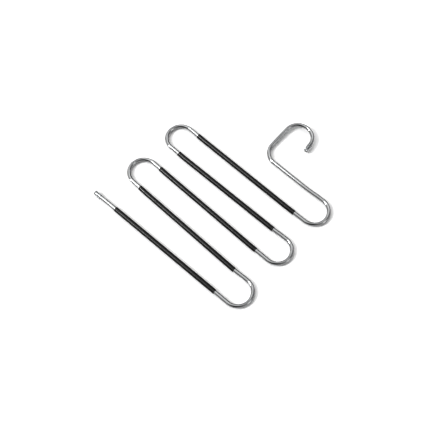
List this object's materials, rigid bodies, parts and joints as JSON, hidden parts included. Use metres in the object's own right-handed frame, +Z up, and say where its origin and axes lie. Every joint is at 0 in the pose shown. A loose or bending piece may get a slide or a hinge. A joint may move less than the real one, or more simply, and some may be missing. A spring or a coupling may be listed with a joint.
{
  "type": "trouser hanger",
  "caption": "Space-saving trouser hanger: one polished steel tube bent into stacked bars and a hook, with black non-slip sleeves on the bars and clear end caps.",
  "frame": {"origin": "centre of the hanger's footprint, on the surface that it lies on", "axes": "+X along the bars towards the bend that carries the top run, +Y from the lowest bar to the hook, +Z up from the surface"},
  "size_m": [0.3316, 0.353, 0.0118],
  "materials": {
    "polished_steel": "bright chrome plating on steel tube",
    "black_grip": "soft satin black",
    "clear_cap": "soft clear PVC"
  },
  "bodies": {
    "root": {"bent_tube": "polished_steel", "grip_sleeve_1": "black_grip", "grip_sleeve_2": "black_grip", "grip_sleeve_3": "black_grip", "grip_sleeve_4": "black_grip", "grip_sleeve_5": "black_grip", "bar_end_cap": "clear_cap", "hook_tip_cap": "clear_cap"}
  },
  "joints": []
}
